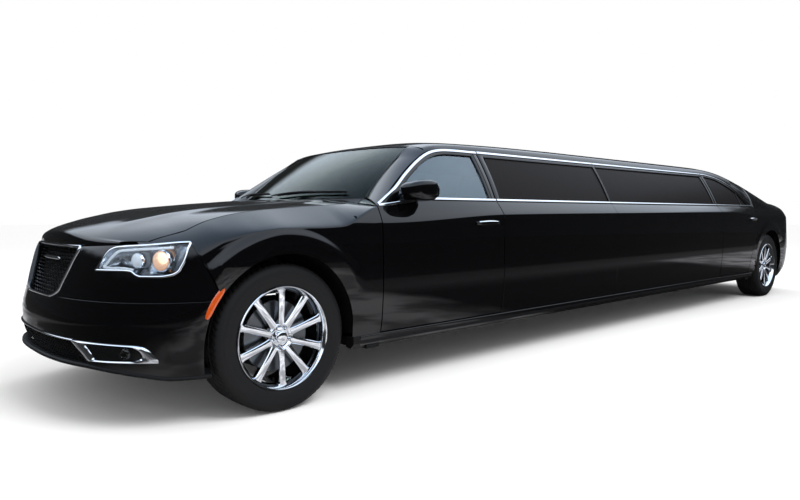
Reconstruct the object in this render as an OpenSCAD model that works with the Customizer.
// Stretch limousine: a four-door luxury sedan lengthened behind its front doors.
// +X is forward, +Y is the vehicle's left, +Z is up; the origin is on the ground,
// under the middle of the overall length and width. All sizes are millimetres.

/* [Overall] */
// distance between the front and rear axles
wheelbase = 6608; // [4600:1:9000]
// front axle to the foremost point of the bumper
front_overhang = 870; // [780:1:1100]
// rear axle to the rearmost point of the bumper
rear_overhang = 1122; // [1000:1:1400]
// width over the body sides, without the mirrors
body_width = 1908; // [1600:1:2300]
// ground to the top of the roof
roof_z = 1485; // [1400:1:1800]

/* [Body heights] */
// underside of the rocker panels
rocker_z = 245; // [200:1:260]
// top edge of the rocker panels, under the doors
rocker_top_z = 315; // [290:1:340]
// shoulder crease along the doors
crease_z = 925; // [880:1:960]
// bottom edge of the side windows
belt_z = 1050; // [1000:1:1090]
// how far the top edge of the side windows lies below the roof
rail_drop = 97; // [80:1:140]

/* [Panels] */
// thickness of a door or side wall below the windows
door_t = 66; // [45:1:90]
// thickness of the window frames and roof rails
frame_t = 38; // [28:1:50]
// thickness of a bumper or fender wall
skin_t = 45; // [20:1:70]
// thickness of the glass
glass_t = 5; // [4:0.5:8]
// gap round a door or lid
shut_gap = 7; // [5:0.5:9]
// gap between two panels that are fixed together
fixed_gap = 0.5; // [0.3:0.1:0.8]

/* [Side openings] */
// front axle to the leading edge of the front door
front_door_s = 612; // [580:1:700]
// length of the front door at its bottom edge
front_door_len = 1040; // [900:1:1200]
// rear axle forward to the leading edge of the rear door
rear_door_s = 1388; // [1300:1:1500]
// length of the rear door at the belt
rear_door_len = 985; // [900:1:1050]

/* [Wheels] */
// outside diameter of the tyres
tyre_d = 728.5; // [640:0.5:780]
// width of the tyres
tyre_w = 245; // [205:5:285]
// bead seat diameter of the wheels
rim_d = 508; // [432:1:534]
// distance between the front tyres' middles
front_track = 1611; // [1400:1:1900]
// distance between the rear tyres' middles
rear_track = 1621; // [1400:1:1900]
// radius of the wheel arches
arch_r = 408; // [385:1:450]
// radius of the bore that runs on the spindle
spindle_r = 22; // [16:1:30]

/* [Rear plate holder] */
// distance between the plate's two bolt holes
plate_bolts = 178; // [150:1:420]
// radius of the plate's bolt holes
plate_bolt_r = 3.25; // [2:0.25:4]

/* [Hidden] */
$fn = 48;
hw = body_width/2;
total_len = front_overhang + wheelbase + rear_overhang;
front_tip = total_len/2;
fx = front_tip - front_overhang;
rx = fx - wheelbase;
rear_tip = -front_tip;
axle_z = tyre_d/2;
rail_z = roof_z - rail_drop;
door_z = rocker_top_z + shut_gap;
panel_z = rocker_top_z + fixed_gap;
belt_in = 74;
rail_in = 262;
belt_y = hw - belt_in;
rail_y = hw - rail_in;
glass_tilt = atan((belt_y - rail_y)/(rail_z - belt_z));
floor_t = 45;
floor_top = rocker_z + 10 + floor_t;
cap_gap = 0.3;
pin_r = shut_gap/2 - cap_gap;

function clamp01(t) = min(1, max(0, t));
function mix(a, b, t) = a + (b - a)*t;
function unit(v) = v/norm(v);
function steps(a, b, n) = [for (i = [0:n]) mix(a, b, i/n)];

// half width of the body side at height z, before the ends round in
function side_w(z) = hw - lookup(z, [[rocker_z - 60, 90], [rocker_z, 54], [rocker_top_z, 27],
    [450, 8], [620, 0], [800, 4], [crease_z, 10], [crease_z + 20, 17], [1000, 44],
    [belt_z, belt_in], [rail_z, rail_in]]);
// foremost and rearmost x of the body at height z
function nose_x(z) = front_tip - lookup(z, [[150, 60], [230, 8], [300, 0], [450, 0], [600, 10],
    [700, 28], [800, 62], [900, 150]]);
function tail_x(z) = rear_tip + lookup(z, [[200, 60], [330, 14], [450, 0], [620, 0], [760, 16],
    [950, 34], [1060, 70]]);
nose_a = 700;
nose_n = 2.5;
tail_a = 640;
tail_n = 3;
function plan_round(u, a, n) = u >= a ? 1 : pow(1 - pow(1 - clamp01(u/a), n), 1/n);
// half width at x and z, with the rounded nose and tail
function side_y(x, z) = side_w(z)*plan_round(nose_x(z) - x, nose_a, nose_n)
    *plan_round(x - tail_x(z), tail_a, tail_n);
// point on the nose or tail skin, at angle a from straight ahead or astern
function nose_pt(a, z) = [nose_x(z) - nose_a*(1 - pow(cos(a), 2/nose_n)),
    side_w(z)*sign(a)*pow(abs(sin(a)), 2/nose_n), z];
function tail_pt(a, z) = [tail_x(z) + tail_a*(1 - pow(cos(a), 2/tail_n)),
    side_w(z)*sign(a)*pow(abs(sin(a)), 2/tail_n), z];
// x and height of the edge that the upper skin springs from, on the front end
function brow_z(x) = lookup(fx - x, [[-740, 690], [-600, 720], [-450, 740], [-300, 830], [-150, 880],
    [0, 895], [200, 893], [450, 905], [650, crease_z]]);
function hood_z(x) = lookup(fx - x, [[-830, 815], [-741, 888], [-645, 923], [-443, 970], [-224, 998],
    [14, 1020], [260, 1044], [450, 1056], [620, 1064]]);
function brow_n(x) = lookup(fx - x, [[-450, 2.2], [0, 2.6]]);
function front_top(x, y) = let (e = side_y(x, brow_z(x)))
    brow_z(x) + (hood_z(x) - brow_z(x))*pow(1 - pow(clamp01(abs(y)/e), brow_n(x)), 1/brow_n(x));
// the deck behind the rear window
function deck_edge_z(x) = lookup(rx - x, [[-500, belt_z - 8], [0, 1020], [500, 1000], [900, 985], [1122, 960]]);
function deck_z(x) = lookup(rx - x, [[300, 1135], [470, 1132], [690, 1115], [890, 1102], [1050, 1086],
    [1122, 1060]]);
function deck_top(x, y) = let (e = side_y(x, deck_edge_z(x)))
    deck_edge_z(x) + (deck_z(x) - deck_edge_z(x))*pow(1 - pow(clamp01(abs(y)/e), 2.6), 1/2.6);

// x along the top edge of the side windows, from the front pillar to the rear tip
door_x = fx - front_door_s;
door_end_x = door_x - front_door_len;
rdoor_x = rx + rear_door_s;
rdoor_end_x = rdoor_x - rear_door_len;
function dlo_front() = [[door_x + 3, belt_z - 40], [door_x - 270, mix(belt_z, rail_z, 0.44)],
    [door_x - 415, mix(belt_z, rail_z, 0.7)], [door_x - 550, mix(belt_z, rail_z, 0.89)],
    [door_x - 660, mix(belt_z, rail_z, 0.96)]];
function dlo_rear() = [[rdoor_x - 90, rail_z], [rdoor_x - 320, mix(belt_z, rail_z, 0.93)],
    [rdoor_x - 510, mix(belt_z, rail_z, 0.82)], [rdoor_x - 680, mix(belt_z, rail_z, 0.64)],
    [rdoor_x - 810, mix(belt_z, rail_z, 0.41)], [rdoor_x - 925, mix(belt_z, rail_z, 0.22)],
    [rdoor_end_x, mix(belt_z, rail_z, 0.08)]];
function glass_y(z) = mix(belt_y, rail_y, (z - belt_z)/(rail_z - belt_z));
function on_glass(p) = [p[0], glass_y(p[1]), p[1]];

// a wall of thickness t under the skin points g[i][j], whose outer side faces cross(di, dj);
// cut moves the inner face's first and last j inward, for bevelled edges; the first level rows
// have their thickness laid off horizontally, and first and last mask its direction at the i ends
module wall(g, t, cut = [0, 0], level = 0, first = [1, 1, 1], last = [1, 1, 1]) {
    n = len(g);
    m = len(g[0]);
    function at(i, j) = g[min(max(i, 0), n - 1)][min(max(j, 0), m - 1)];
    function across(i, j) = cross(at(i + 1, j) - at(i - 1, j), at(i, j + 1) - at(i, j - 1));
    function mask(i) = i == 0 && first != [1, 1, 1] ? first
        : i == n - 1 && last != [1, 1, 1] ? last : i < level ? [1, 1, 0] : [1, 1, 1];
    function normal(i, j) = let (c = across(i, j), k = mask(i)) unit([c[0]*k[0], c[1]*k[1], c[2]*k[2]]);
    function edge(i, j) = j == 0 ? cut[0]*unit(at(i, 1) - at(i, 0))
        : j == m - 1 ? cut[1]*unit(at(i, m - 2) - at(i, m - 1)) : [0, 0, 0];
    shell(g, [for (i = [0:n - 1]) [for (j = [0:m - 1]) at(i, j) - t*normal(i, j) + edge(i, j)]]);
}
// the closed solid between the skin points g and the inner points h
module shell(g, h) {
    n = len(g);
    m = len(g[0]);
    function id(i, j, s) = s*n*m + i*m + j;
    function quad(a, b, c, d) = [[a, b, c], [a, c, d]];
    skin = [for (i = [0:n - 2]) for (j = [0:m - 2])
        each quad(id(i, j, 0), id(i, j + 1, 0), id(i + 1, j + 1, 0), id(i + 1, j, 0))];
    back = [for (i = [0:n - 2]) for (j = [0:m - 2])
        each quad(id(i, j, 1), id(i + 1, j, 1), id(i + 1, j + 1, 1), id(i, j + 1, 1))];
    ends_i = [for (j = [0:m - 2]) each concat(
        quad(id(0, j, 0), id(0, j, 1), id(0, j + 1, 1), id(0, j + 1, 0)),
        quad(id(n - 1, j, 0), id(n - 1, j + 1, 0), id(n - 1, j + 1, 1), id(n - 1, j, 1)))];
    ends_j = [for (i = [0:n - 2]) each concat(
        quad(id(i, 0, 0), id(i + 1, 0, 0), id(i + 1, 0, 1), id(i, 0, 1)),
        quad(id(i, m - 1, 0), id(i, m - 1, 1), id(i + 1, m - 1, 1), id(i + 1, m - 1, 0)))];
    polyhedron(concat([for (r = g) each r], [for (r = h) each r]), concat(skin, back, ends_i, ends_j));
}
// joins facetted walls into one body
module welded() resize([0, 0, 0]) union() children();
module both() {
    children();
    mirror([0, 1, 0]) children();
}
// lays an outline of x and z on the slope of the side windows, t deep from the skin
module on_slope(t, inset = 0)
    translate([0, belt_y, belt_z]) rotate([90 + glass_tilt, 0, 0]) translate([0, 0, inset])
        linear_extrude(t) children();
function slope(p) = [for (q = p) [q[0], (q[1] - belt_z)/cos(glass_tilt)]];

// the body side between x limits that are functions of z, given as lists over z
module side_wall(zs, x_low, x_high, nx, t, cut = [0, 0])
    wall([for (i = [0:len(zs) - 1]) [for (j = [0:nx])
        let (x = mix(x_low[i], x_high[i], j/nx)) [x, side_y(x, zs[i]), zs[i]]]], t, cut);
function same(v, n) = [for (i = [0:n - 1]) v];
side_zs = [door_z, 385, 450, 535, 620, 710, 800, 865, crease_z, crease_z + 20, 1000, belt_z];
panel_zs = concat([panel_z], [for (i = [1:len(side_zs) - 1]) side_zs[i]]);
n_zs = len(side_zs);

// ---- underbody ----
well_x = 440;
well_y = hw - 480;
rail_w = 90;
jack_drop = 8;
rail_y0 = 340;
tow_y = -420;
tow_z = rocker_z + 85;
module underbody() color("#2b2d30") difference() {
    union() {
        difference() {
            translate([rx - well_x, -hw + 95, rocker_z + 10])
                cube([fx - rx + well_x - 330, body_width - 190, floor_t]);
            for (x = [fx, rx], s = [-1, 1]) translate([x - well_x, s > 0 ? well_y : -well_y - 600, 0])
                cube([2*well_x, 600, 500]);
        }
        both() translate([rx + well_x + 48, hw - 95.5, rocker_z]) rotate([90, 0, 90])
            linear_extrude(fx - rx - 2*well_x - 30) polygon([[0, 8], [38, 0], [66, 28],
                [67, rocker_top_z - rocker_z], [0, rocker_top_z - rocker_z]]);
        both() for (x = [fx - well_x - 170, rx + well_x + 110])
            translate([x, hw - 84, rocker_z - jack_drop]) cube([90, 44, 40]);
        both() translate([fx - 340, rail_y0, rocker_z + 10]) cube([340 + 620, rail_w, 110]);
        translate([fx + 620, -600, rocker_z + 30]) cube([60, 1200, 90]);
        translate([rx - 470, -500, rocker_z + 10]) cube([480, 1000, floor_t]);
        both() translate([rx - 940, rail_y0, rocker_z + 10]) cube([940, rail_w, 110]);
        translate([rx - 1000, -500, rocker_z + 30]) cube([60, 1000, 110]);
        translate([rx - 940, -600, floor_top]) cube([940 - 440, 1200, 30]);
    }
    translate([rx - 1001, tow_y, tow_z]) rotate([0, 90, 0]) cylinder(r = 8, h = 70);
}
module engine() color("#55585c")
    translate([fx - 230, -260, floor_top + 75]) cube([560, 520, 520]);

// ---- running gear ----
kingpin_in = 45;
spindle_reach = 45;
ball_r = 16;
module front_subframe() color("#3a3c40") {
    difference() {
        union() {
            translate([fx - 200, -rail_y0 - rail_w, 190]) cube([400, 2*(rail_y0 + rail_w), rocker_z + 10 - 190 - cap_gap]);
            translate([fx - 200, -255, 240]) cube([400, 510, 134.7]);
            both() translate([fx - 45, rail_y0, 195])
                cube([90, front_track/2 - kingpin_in - rail_y0, 40]);
            both() translate([fx, front_track/2 - kingpin_in, 190]) cylinder(r = 34, h = 50);
        }
        both() translate([fx, front_track/2 - kingpin_in, 180]) cylinder(r = ball_r, h = 70);
    }
}
module knuckle() color("#4a4c50") {
    translate([fx, front_track/2 - kingpin_in, 195]) cylinder(r = ball_r - cap_gap, h = 60);
    translate([fx, front_track/2 - kingpin_in, 246]) cylinder(r = 24, h = 240);
    translate([fx, front_track/2 - kingpin_in, axle_z]) rotate([-90, 0, 0])
        cylinder(r = spindle_r - 0.05, h = kingpin_in + spindle_reach);
    translate([fx, front_track/2 - kingpin_in, axle_z]) rotate([-90, 0, 0])
        cylinder(r = 55, h = kingpin_in - 6);
}
module knuckle_left() knuckle();
module knuckle_right() mirror([0, 1, 0]) knuckle();
module rear_axle() color("#3a3c40") {
    difference() {
        union() {
            translate([rx - 200, -rail_y0 - rail_w, 190]) cube([400, 2*(rail_y0 + rail_w), rocker_z + 10 - 190 - cap_gap]);
            both() translate([rx - 45, rail_y0, 195]) cube([90, 270, 50]);
            both() translate([rx - 45, rail_y0 + 240, 195]) cube([90, 70, 230]);
        }
    }
    both() translate([rx, rail_y0 + 250, axle_z]) rotate([-90, 0, 0])
        cylinder(r = spindle_r - 0.05, h = rear_track/2 - rail_y0 - 250 + spindle_reach);
}
disc_r = 180;
module wheel(x, track) color("#c9ccd0") translate([x, track/2, axle_z]) rotate([-90, 0, 0])
    difference() {
        union() {
            rotate_extrude() polygon([[rim_d/2 - cap_gap, -118], [rim_d/2 - cap_gap, 118],
                [rim_d/2 - 14, 118], [rim_d/2 - 22, 60], [rim_d/2 - 22, -60], [rim_d/2 - 14, -118]]);
            for (a = [0:36:324]) rotate([0, 0, a]) translate([40, -16, 62]) cube([rim_d/2 - 55, 32, 34]);
            translate([0, 0, 40]) cylinder(r = 85, h = 58);
            cylinder(r = 42, h = 90);
            translate([0, 0, 8]) cylinder(r = disc_r, h = 28);
        }
        translate([0, 0, -1]) cylinder(r = spindle_r, h = spindle_reach + 6);
    }
module tyre(x, track) color("#17181a") translate([x, track/2, axle_z]) rotate([-90, 0, 0])
    rotate_extrude($fn = 72) let (h = tyre_w/2, r = tyre_d/2) polygon([[rim_d/2, -h + 14],
        [rim_d/2 + 12, -h + 6], [rim_d/2 + 45, -h], [r - 38, -h + 6], [r - 12, -h + 18], [r, -h + 42],
        [r, h - 42], [r - 12, h - 18], [r - 38, h - 6], [rim_d/2 + 45, h], [rim_d/2 + 12, h - 6],
        [rim_d/2, h - 14]]);
module wheel_front_left() wheel(fx, front_track);
module wheel_front_right() mirror([0, 1, 0]) wheel(fx, front_track);
module wheel_rear_left() wheel(rx, rear_track);
module wheel_rear_right() mirror([0, 1, 0]) wheel(rx, rear_track);
module tyre_front_left() tyre(fx, front_track);
module tyre_front_right() mirror([0, 1, 0]) tyre(fx, front_track);
module tyre_rear_left() tyre(rx, rear_track);
module tyre_rear_right() mirror([0, 1, 0]) tyre(rx, rear_track);

// ---- front end ----
grille_a = 21.5;
// the seam in front of the fender: the wheel arch, then a slanted line up to the hood
seam_deg = 35;
seam_low_z = axle_z + arch_r*sin(seam_deg);
seam_top = [fx + 440, 836];
function fender_seam_x(z) = z <= seam_low_z ? fx + sqrt(max(0, arch_r*arch_r - pow(z - axle_z, 2)))
    : mix(fx + arch_r*cos(seam_deg), seam_top[0], (z - seam_low_z)/(seam_top[1] - seam_low_z));
function arch_end_a(z) = acos(pow(clamp01(1 - (nose_x(z) - fender_seam_x(z) - 2)/nose_a), nose_n/2));
lamp_low_z = 700;

bumper_as = concat(steps(-1, -0.36, 8), [-0.3001], steps(-0.3, 0.3, 6), [0.3001], steps(0.36, 1, 8));
bumper_zs = [0, 0.2, 0.4, 0.6, 0.8, 1];
module front_bumper() color("#101114")
    wall([for (k = bumper_as) [for (v = bumper_zs)
        let (a_mid = abs(k) <= 0.3 ? k/0.3*grille_a : sign(k)*mix(grille_a, 90, (abs(k) - 0.3)/0.7),
            z = mix(185, abs(k) <= 0.3 ? 578 : lamp_low_z, v),
            a = abs(k) <= 0.3 ? a_mid : sign(k)*mix(grille_a, arch_end_a(z), (abs(k) - 0.3)/0.7))
        nose_pt(a, z)]], skin_t, level = 99, first = [0, 1, 0], last = [0, 1, 0]);
module grille() color("#1a1b1d")
    wall([for (k = steps(-1, 1, 10)) [for (v = steps(0, 1, 4))
        nose_pt(k*mix(15.5, grille_a - 0.1, v), mix(578 + fixed_gap, 812, v))]], 40, level = 99);
module headlights() color("#9fa4aa") both()
    wall([for (k = steps(0, 1, 10)) [for (v = steps(0, 1, 4))
        let (z = mix(lamp_low_z + fixed_gap, mix(806, 832, k), v))
            nose_pt(mix(grille_a + 0.1, arch_end_a(z), k), z)]], 60, level = 99, last = [0, 1, 0]);

// hood half width along its length, from the nose (0) to the cowl (1)
function hood_half(t) = lookup(t, [[0, 600], [0.016, 700], [0.127, 745], [1, 745]]);
function hood_nose_x(y) = nose_x(812) - 12 - 118*pow(abs(y)/600, 2.4);
function hood_tail_x(y) = fx - 440 - 160*min(1, pow(abs(y)/600, 2));
function hood_pt(t, v) = let (y = v*hood_half(t), x = mix(hood_nose_x(y), hood_tail_x(y), t))
    [x, y, front_top(x, y)];
hood_ts = concat([0, 0.016, 0.05], steps(0.127, 1, 10));
hood_edge = [for (t = hood_ts) [-hood_pt(t, 1)[0], hood_pt(t, 1)[1]]];
function hood_edge_y(x) = lookup(-x, hood_edge);
hood_t = 22;
lip_t = 5;
hood_pin_x = hood_tail_x(745) - shut_gap/2;
hood_pin_z = front_top(hood_tail_x(745), 715) - 4;
module hood_pin() translate([hood_pin_x, 732, hood_pin_z]) {
    rotate([90, 0, 0]) cylinder(r = pin_r, h = 38);
    translate([0, -36, -pin_r]) cube([shut_gap, 34, pin_r]);
}
module hood() color("#101114") {
    both() hood_pin();
    ts = [for (i = [1:len(hood_ts)]) hood_ts[len(hood_ts) - i]];
    vs = steps(-1, 1, 14);
    shell([for (t = ts) [for (v = vs) hood_pt(t, v)]],
        [for (t = ts) [for (v = vs) hood_pt(t, v) - [0, 0, mix(lip_t, hood_t, clamp01(t/0.05))]]]);
}
lamp_top_fall = 0.0625;
module fender_skin() {
    back_x = door_x + shut_gap;
    cols = concat([[back_x, panel_z], [mix(back_x, fx - arch_r, 0.5), panel_z], [fx - arch_r - 4, panel_z]],
        [for (d = steps(0, 180 - seam_deg, 12)) [fx - arch_r*cos(d), axle_z + arch_r*sin(d)]],
        [for (x = [0, 80, 160]) seam_top + [x, -lamp_top_fall*x]]);
    rows = [0, 0.2, 0.4, 0.6, 0.8, 1, 1.3, 1.6, 2];
    function skin(k, c) = let (zt = max(brow_z(c[0]), c[1] + 5), z = mix(c[1], zt, k))
        k <= 1 ? [c[0], side_y(c[0], z), z]
            : let (y = mix(side_y(c[0], zt), hood_edge_y(c[0]) + shut_gap, k - 1))
                [c[0], y, max(front_top(c[0], y), zt + 3)];
    shell([for (k = rows) [for (c = cols) skin(k, c)]],
        [for (k = rows) [for (c = cols) let (w = clamp01(k - 1)) skin(k, c) - skin_t*unit([0, 1 - w, w])]]);
}
module fender_left() color("#101114") fender_skin();
module fender_right() mirror([0, 1, 0]) fender_left();

// ---- windshield, roof and pillars ----
cowl_z = 1058;
ws_base_x = fx - 505;
ws_top_x = fx - 1060;
function ws_top_edge_x(y) = ws_top_x - 70*pow(y/600, 2);
roof_end_x = rx + 678;
function roof_tail_x(y) = roof_end_x + 20*pow(y/750, 2);
function rail_at(x) = x > door_x - 700 ? lookup(-x, [for (p = dlo_front()) [-p[0], p[1]]])
    : x < rdoor_x - 90 ? lookup(-x, [for (p = dlo_rear()) [-p[0], p[1]]]) : rail_z;
function roof_c(x) = roof_z - (x > 0 ? lookup(fx - x, [[1060, 84], [1325, 36], [1720, 16], [2160, 5], [2700, 0]])
    : lookup(x - rx, [[628, 50], [678, 42], [808, 24], [1008, 10], [1408, 2], [1800, 0]]));
function roof_pt(x, y) = let (zr = rail_at(x), w = glass_y(zr))
    [x, y, zr + (roof_c(x) - zr)*pow(1 - pow(clamp01(abs(y)/w), 2.6), 1/2.6)];
function bulge(t, h) = 4*t*(1 - t)*h;
function ws_pt(v, t) = let (a = [ws_base_x - 195*v*v, 700*v, cowl_z],
    b = roof_pt(ws_top_edge_x(600*v), 600*v) - [0, 0, 4]) mix(a, b, t) + bulge(t, 16)*[0.5, 0, 0.85];
module windshield() color("#7f8f86")
    wall([for (v = steps(-1, 1, 12)) [for (t = steps(0, 1, 6)) ws_pt(v, t)]], glass_t);
module cowl() color("#141518") welded() {
    wall([for (k = steps(0, 1, 1)) [for (v = steps(-1, 1, 12))
        let (w = ws_pt(v, 0), y = 738*v, x = hood_tail_x(y) - shut_gap)
        mix([w[0] + 6, 0.99*w[1], w[2]], [x, y, front_top(x, y) - 16], k)]], 64);
    translate([fx - 580, -500, 970]) cube([130, 1000, 30]);
    for (p = [[800, 880], [725, 965], [500, 1010]])
        translate([fx - 580, -p[0], floor_top + fixed_gap]) cube([25, 2*p[0], p[1] - floor_top]);
}
pillar_ts = [0, 0.36, 0.66, 0.9];
glass_n = [0, cos(glass_tilt), sin(glass_tilt)];
// a pillar between a side window and an end window: the wall turns from one glass's normal to the other's
module pillar(g, end_n) shell(g, [for (i = [0:len(g) - 1]) [for (j = [0:len(g[0]) - 1])
    let (n = mix(glass_n, end_n, j/(len(g[0]) - 1))) g[i][j] - frame_t*unit([i == 0 ? 0 : n[0], n[1], n[2]])]]);
module roof() color("#101114") welded() {
    both() difference() {
        pillar([for (k = [0:3]) let (a = on_glass(dlo_front()[k]), b = ws_pt(1, pillar_ts[k]) + [0, 1, 0])
            [for (w = [0, 0.35, 0.7, 1]) mix(a, b, w) + bulge(w, 10)*[0.4, 0.4, 0.8]]], [0.42, 0, 0.9]);
        translate([door_x - 400, belt_y - door_t - 8, 900]) cube([400 + shut_gap, 300, belt_z + shut_gap - 900]);
    }
    g = [for (k = steps(1, 0, 20)) [for (v = steps(-1, 1, 16))
        let (vv = sign(v)*pow(abs(v), 0.8), x0 = mix(ws_top_edge_x(vv*700) - 5, roof_tail_x(vv*750), k),
            w = glass_y(rail_at(x0))) roof_pt(x0, vv*w)]];
    h = [for (r = g) [for (p = r) let (zr = rail_at(p[0]), w = glass_y(zr), c = roof_c(p[0]))
        [p[0], p[1]*(w - frame_t)/w, zr + (p[2] - zr)*(c - zr - frame_t)/(c - zr)]]];
    shell(g, h);
}

// ---- side panels and doors ----
seam_x = fx - 3110;
hinge_y = hw - 2;
// window openings, as x and z
sash = 34;
front_frame = concat([for (p = dlo_front()) p + [-shut_gap - 3, -5]],
    [[door_end_x + 30, rail_z - shut_gap], [door_end_x + 1, rail_z - shut_gap], [door_end_x + 1, belt_z - 57],
    [door_x - 20, belt_z - 57]]);
front_hole = [[door_x - 105, belt_z], [door_x - 275, mix(belt_z, rail_z, 0.36)],
    [door_x - 420, mix(belt_z, rail_z, 0.6)], [door_x - 560, mix(belt_z, rail_z, 0.78)],
    [door_x - 680, mix(belt_z, rail_z, 0.86)], [door_end_x + 58, rail_z - sash - 6],
    [door_end_x + 58, belt_z + 4]];
rear_frame = concat([[rdoor_x - shut_gap - 1, belt_z - 57], [rdoor_x - shut_gap - 1, rail_z - shut_gap],
    [rdoor_x - 90, rail_z - shut_gap]], [for (k = [1:6]) dlo_rear()[k] + [shut_gap, -shut_gap]],
    [[rdoor_end_x + shut_gap, belt_z - 57]]);
rear_hole = [[rdoor_x - 60, belt_z + 4], [rdoor_x - 60, rail_z - sash - 6], [rdoor_x - 130, rail_z - sash - 10],
    [rdoor_x - 330, mix(belt_z, rail_z, 0.78)], [rdoor_x - 500, mix(belt_z, rail_z, 0.64)],
    [rdoor_x - 650, mix(belt_z, rail_z, 0.45)], [rdoor_x - 770, mix(belt_z, rail_z, 0.24)],
    [rdoor_x - 850, belt_z + 4]];
module frame_and_hole(outer, hole, depth = frame_t) {
    on_slope(8) difference() {
        polygon(slope(outer));
        polygon(slope(hole));
    }
    on_slope(depth - 7, 7) difference() {
        offset(delta = -13) polygon(slope(outer));
        polygon(slope(hole));
    }
}
module hinge_pins(x) for (z = [560, 800]) translate([x, hinge_y, z]) {
    cylinder(r = pin_r, h = 60, $fn = 24);
    translate([-shut_gap, -pin_r, 5]) cube([shut_gap, pin_r, 50]);
}
module door_handle(x) translate([x - 100, side_w(crease_z) - 2, crease_z - 22]) cube([200, 24, 22]);
module front_door_left() color("#101114") {
    welded() {
        side_wall(side_zs, same(door_end_x, n_zs), same(door_x, n_zs), 6, door_t, [14, 14]);
        frame_and_hole(front_frame, front_hole);
    }
    hinge_pins(door_x + shut_gap/2);
    door_handle(door_end_x + 165);
}
module front_door_right() mirror([0, 1, 0]) front_door_left();
// rear edge of the rear door, bending forward above the wheel arch
function rdoor_edge_x(z) = rdoor_end_x + lookup(z, [[315, 195], [400, 187], [500, 157], [600, 102], [700, 42],
    [800, 8], [900, 0]]);
module rear_door_left() color("#101114") {
    welded() {
        side_wall(side_zs, [for (z = side_zs) rdoor_edge_x(z)], same(rdoor_x - shut_gap, n_zs), 6, door_t, [14, 14]);
        frame_and_hole(rear_frame, rear_hole);
    }
    hinge_pins(rdoor_x - shut_gap/2);
    door_handle(rdoor_end_x + 165);
}
module rear_door_right() mirror([0, 1, 0]) rear_door_left();
pane_front = door_end_x - shut_gap;
module side_panels() color("#101114") both() {
    stretch_panel(seam_x + fixed_gap/2, pane_front, 18, 40);
    stretch_panel(rdoor_x, seam_x - fixed_gap/2, 40, 18);
}
// a fixed panel of the lengthened side, with its window between two end posts
function post_hole(x0, x1, e0, e1) = [[x0 + e0, belt_z + 4], [x0 + e0, rail_z - sash - 6],
    [x1 - e1, rail_z - sash - 6], [x1 - e1, belt_z + 4]];
post_w = 46;
module stretch_panel(x0, x1, e0, e1) welded() {
    side_wall(panel_zs, same(x0, n_zs), same(x1, n_zs), 8, door_t);
    on_slope(frame_t) difference() {
        polygon(slope([[x0 + 1, belt_z - 57], [x0 + 1, rail_z - 1], [x1 - 1, rail_z - 1], [x1 - 1, belt_z - 57]]));
        polygon(slope(post_hole(x0, x1, post_w, post_w)));
    }
}
// glass that fills a window opening, a little below the skin
glass_inset = 10;
module pane(hole) on_slope(glass_t, glass_inset) offset(delta = -cap_gap) polygon(slope(hole));
module side_glass() color("#23262b") both() {
    pane(post_hole(seam_x + fixed_gap/2, pane_front, post_w, post_w));
    pane(post_hole(rdoor_x, seam_x - fixed_gap/2, post_w, post_w));
}
module front_door_glass_left() color("#5f6a72") pane(front_hole);
module front_door_glass_right() mirror([0, 1, 0]) front_door_glass_left();
module rear_door_glass_left() color("#23262b") pane(rear_hole);
module rear_door_glass_right() mirror([0, 1, 0]) rear_door_glass_left();
mirror_x = door_x - 290;
module door_mirror_left() color("#101114") hull() {
    translate([mirror_x + 10, hw - 65, belt_z - 14]) cube([140, 10, 16]);
    translate([mirror_x + 20, hw + 80, belt_z + 4]) cube([110, 10, 78]);
    translate([mirror_x + 10, hw - 20, belt_z - 4]) cube([150, 60, 90]);
}
module door_mirror_right() mirror([0, 1, 0]) door_mirror_left();

// ---- tail ----
window_base_x = rx - 472;
rw_base_w = 645;
rw_top_w = 560;
// how far the seam between rear window and boot lid curves forward, away from the middle
function base_bow(y) = 122*min(1, pow(abs(y)/575, 2));
function rw_pt(v, t) = let (xt = roof_tail_x(rw_top_w*v) - 2.3, xb = window_base_x + base_bow(rw_base_w*v),
    a = [xb, rw_base_w*v, deck_top(xb, rw_base_w*v) + 3], b = roof_pt(xt, rw_top_w*v))
    mix(a, b, t) + bulge(t, 20)*[-0.3, 0, 0.95];
module rear_window() color("#23262b")
    wall([for (v = steps(1, -1, 12)) [for (t = steps(0, 1, 6)) rw_pt(v, t)]], glass_t);
lid_w0 = 640;
lid_w1 = 600;
lid_front_x = window_base_x - shut_gap - 2;
lid_rear_x = rear_tip + 62;
bumper_top_z = 752;
lid_low_z = bumper_top_z + shut_gap;
function tail_surf_x(y, z) = tail_x(z) + tail_a*(1 - pow(1 - pow(clamp01(abs(y)/side_w(z)), tail_n), 1/tail_n));
function lid_half(x) = mix(lid_w0, lid_w1, clamp01((lid_front_x - x)/(lid_front_x - lid_rear_x)));
function lid_row_x(k, v) = mix(lid_front_x + base_bow(v*lid_w0), tail_surf_x(v*lid_w1, 1050), k);
module boot_lid() color("#101114") {
    g = concat([for (k = steps(0, 1, 8)) [for (v = steps(1, -1, 12))
        let (x = lid_row_x(k, v), y = v*lid_half(x)) [x, y, deck_top(x, y)]]],
        [for (z = [1015, 960, 900, 840, 790, lid_low_z]) [for (v = steps(1, -1, 12))
            [tail_surf_x(v*lid_w1, z), v*lid_w1, z]]]);
    difference() {
        union() {
            wall(g, 30);
            translate([plate_x, -plate_w/2, plate_z - plate_h/2]) cube([24, plate_w, plate_h]);
            both() lid_pin();
        }
        for (s = [-1, 1]) translate([plate_x - 1, s*plate_bolts/2, plate_z]) rotate([0, 90, 0])
            cylinder(r = plate_bolt_r, h = 16);
    }
}
plate_w = 340;
plate_h = 120;
plate_z = 868;
plate_x = rear_tip + 14;
lid_pin_x = window_base_x + 119.5 - shut_gap/2;
lid_pin_z = deck_top(lid_pin_x, lid_w0) - 1;
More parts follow.
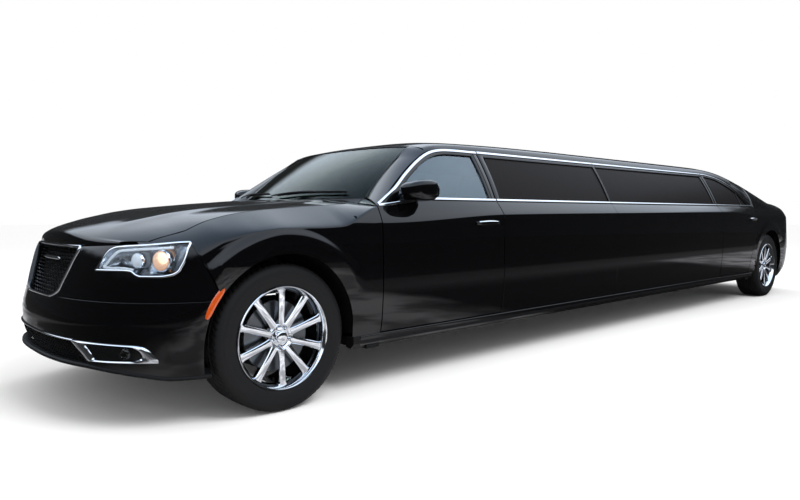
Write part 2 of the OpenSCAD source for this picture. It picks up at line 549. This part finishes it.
module lid_pin() translate([lid_pin_x, lid_w0 + shut_gap - cap_gap, lid_pin_z]) {
    rotate([90, 0, 0]) cylinder(r = 2, h = 28);
    translate([-shut_gap - 2, -28, -2]) cube([shut_gap + 2, 20, 2]);
}
lamp_x = rear_tip + 350;
lamp_z0 = bumper_top_z + fixed_gap;
lamp_z1 = 925;
function tail_a_at(y, z) = asin(pow(clamp01(y/side_w(z)), tail_n/2));
function tail_a_of_x(x, z) = acos(pow(clamp01(1 - (x - tail_x(z))/tail_a), tail_n/2));
module taillights() color("#7d1418") both()
    wall([for (z = steps(lamp_z0, lamp_z1, 4)) [for (k = steps(0, 1, 8))
        tail_pt(mix(tail_a_at(lid_w1 + shut_gap, z), tail_a_of_x(lamp_x, z), k), z)]], frame_t, [0, 25], 99);
arch_back_deg = 39;
arch_back = [rx - arch_r*cos(arch_back_deg), axle_z + arch_r*sin(arch_back_deg)];
// top edge of the rear bumper: level under the lamps, then down to the wheel arch
function rb_top(x) = lookup(x + 15, [[lamp_x, bumper_top_z], [arch_back[0], arch_back[1]]]);
corner_share = 0.7;
function rb_pt(k, w) = let (side = sign(k), q = abs(k), a = side*90*min(1, q/corner_share),
    x_try = q <= corner_share ? tail_pt(a, 650)[0] : mix(rear_tip + tail_a, arch_back[0], (q - corner_share)/(1 - corner_share)),
    z = mix(200, rb_top(x_try), w),
    x_end = rx - sqrt(max(0, arch_r*arch_r - pow(z - axle_z, 2))) - 2)
    q <= corner_share ? tail_pt(a, z)
        : [mix(tail_x(z) + tail_a, x_end, (q - corner_share)/(1 - corner_share)), side*side_w(z), z];
module rear_bumper() color("#101114") difference() {
    wall([for (w = steps(0, 1, 5)) [for (k = concat(steps(-1, -0.7, 2), steps(-0.63, 0.63, 18), steps(0.7, 1, 2)))
        rb_pt(k, w)]], skin_t, level = 99);
    translate([rear_tip - 50, tow_y, tow_z]) rotate([0, 90, 0]) cylinder(r = 28, h = 200);
}
// rear quarter panel and pillar: inner_edge runs up beside the boot lid and the rear window
quarter_top_z = mix(belt_z, rail_z, 0.08);
quarter_x = rdoor_end_x - shut_gap;
window_x0 = window_base_x + base_bow(rw_base_w);
window_x1 = roof_tail_x(rw_top_w) - 2.3;
function inner_edge(x) = x > window_x0 ? rw_pt(1, clamp01((x - window_x0)/(window_x1 - window_x0))) + [0, 2, 0]
    : let (y = lid_half(x) + shut_gap) [x, y, deck_top(x, y)];
// from the body's edge a up to the inner edge b, with a round shoulder
function shoulder(a, b, w) = let (u = pow(1 - pow(1 - w, 2.2), 0.8))
    [mix(a[0], b[0], w), mix(a[1], b[1], w), mix(a[2], b[2], u)];
// columns above the arch lean back a little, to meet the door's edge
function top_x(x) = x < rx ? x : rx + (x - rx)*(quarter_x - 25 - rx)/(arch_r + 3);
// the rear pillar's foot dips this far under the quarter's shoulder
pillar_dip = 3;
module quarter() welded() {
    cols = concat([[rear_tip + 114, lamp_z1 + 3], [rear_tip + 200, lamp_z1 + 1], [lamp_x + 0.7, lamp_z1 + 1],
        [lamp_x + 1.7, bumper_top_z + 3]],
        [for (x = [lamp_x + 220, window_x0 - 5]) [x, rb_top(x - 15) + 3]],
        [for (d = steps(180 - arch_back_deg, 0, 12)) [rx + arch_r*cos(d), axle_z + arch_r*sin(d) + (d > 140 ? 3 : 0)]],
        [[rx + arch_r + 3, panel_z]]);
    n = n_zs - 1;
    wall(concat([for (i = [0:n]) concat([for (c = cols)
        let (xu = top_x(c[0]), x = mix(c[0], xu, i/n), z = mix(c[1], deck_edge_z(xu), i/n)) [x, side_y(x, z), z]],
        [let (z = i == n ? quarter_top_z : panel_zs[i]) [rdoor_edge_x(z) - shut_gap, side_y(quarter_x, z), z]])],
        [for (w = [0.15, 0.4, 0.7, 1]) concat([for (c = cols)
        let (xu = top_x(c[0]), ze = deck_edge_z(xu)) shoulder([xu, side_y(xu, ze), ze], inner_edge(xu), w)],
        [shoulder([quarter_x, side_y(quarter_x, quarter_top_z), quarter_top_z], inner_edge(quarter_x), w)])]),
        frame_t, [40, 12], 2, last = [0, 0, 1]);
    pillar_x = roof_end_x + 20 - fixed_gap;
    low_x = quarter_x - 12;
    edges = concat([on_glass([pillar_x, rail_at(pillar_x)])], [for (k = [4:6]) on_glass(dlo_rear()[k])],
        [[low_x, side_y(low_x, quarter_top_z), quarter_top_z]]);
    insides = [for (x = [window_x1, pillar_x - 110, pillar_x - 220, quarter_x + 4, low_x]) inner_edge(x)];
    pillar([for (k = [0:4]) [for (w = [0, 0.15, 0.4, 0.7, 1])
        shoulder(edges[k], insides[k], w) - [0, 0, k == 4 ? pillar_dip : 0]]], [-0.3, 0, 0.95]);
}
module rear_quarter_left() color("#101114") quarter();
module rear_quarter_right() mirror([0, 1, 0]) rear_quarter_left();

// ---- cabin ----
dash_x = fx - 580 - cap_gap;
module dashboard() color("#1c1c1e") {
    translate([0, 725, 0]) rotate([90, 0, 0]) linear_extrude(1450)
        polygon([[dash_x, 640], [dash_x, 945], [dash_x - 120, 950], [dash_x - 300, 915],
            [dash_x - 330, 800], [dash_x - 230, 640]]);
    translate(wheel_c) rotate([0, -wheel_tilt, 0]) translate([0, 0, -240])
        cylinder(r = 30, h = 240 - column_h - cap_gap);
}
column_h = 60;
wheel_c = [dash_x - 420, 370, 830];
wheel_tilt = 65;
module steering_wheel() color("#1c1c1e") translate(wheel_c) rotate([0, -wheel_tilt, 0]) {
    rotate_extrude() translate([178, 0]) circle(r = 14, $fn = 24);
    for (a = [90, 210, 330]) rotate([0, 0, a]) translate([30, -14, -7]) cube([140, 28, 10]);
    translate([0, 0, -20]) cylinder(r = 55, h = 26);
    translate([0, 0, -column_h]) cylinder(r = 22, h = column_h - 17);
}
module seat(x, y, w) translate([x, y - w/2, 0]) {
    translate([0, 0, floor_top + cap_gap]) cube([460, w, 250]);
    translate([-60, 0, floor_top + 200]) rotate([0, -14, 0]) cube([110, w, 560]);
}
module front_seats() color("#202022") both() seat(door_end_x + 160, 385, 520);
module lounge_seats() color("#202022") {
    seat(rx + 430, 0, 1240);
    translate([rdoor_x + 60, -hw + door_t + 90, floor_top + cap_gap]) cube([2500, 480, 250]);
}

underbody();
engine();
front_subframe();
rear_axle();
knuckle_left();
knuckle_right();
wheel_front_left();
wheel_front_right();
wheel_rear_left();
wheel_rear_right();
tyre_front_left();
tyre_front_right();
tyre_rear_left();
tyre_rear_right();
front_bumper();
grille();
headlights();
hood();
fender_left();
fender_right();
cowl();
windshield();
roof();
front_door_left();
front_door_right();
front_door_glass_left();
front_door_glass_right();
door_mirror_left();
door_mirror_right();
side_panels();
side_glass();
rear_door_left();
rear_door_right();
rear_door_glass_left();
rear_door_glass_right();
rear_quarter_left();
rear_quarter_right();
rear_window();
boot_lid();
taillights();
rear_bumper();
dashboard();
steering_wheel();
front_seats();
lounge_seats();
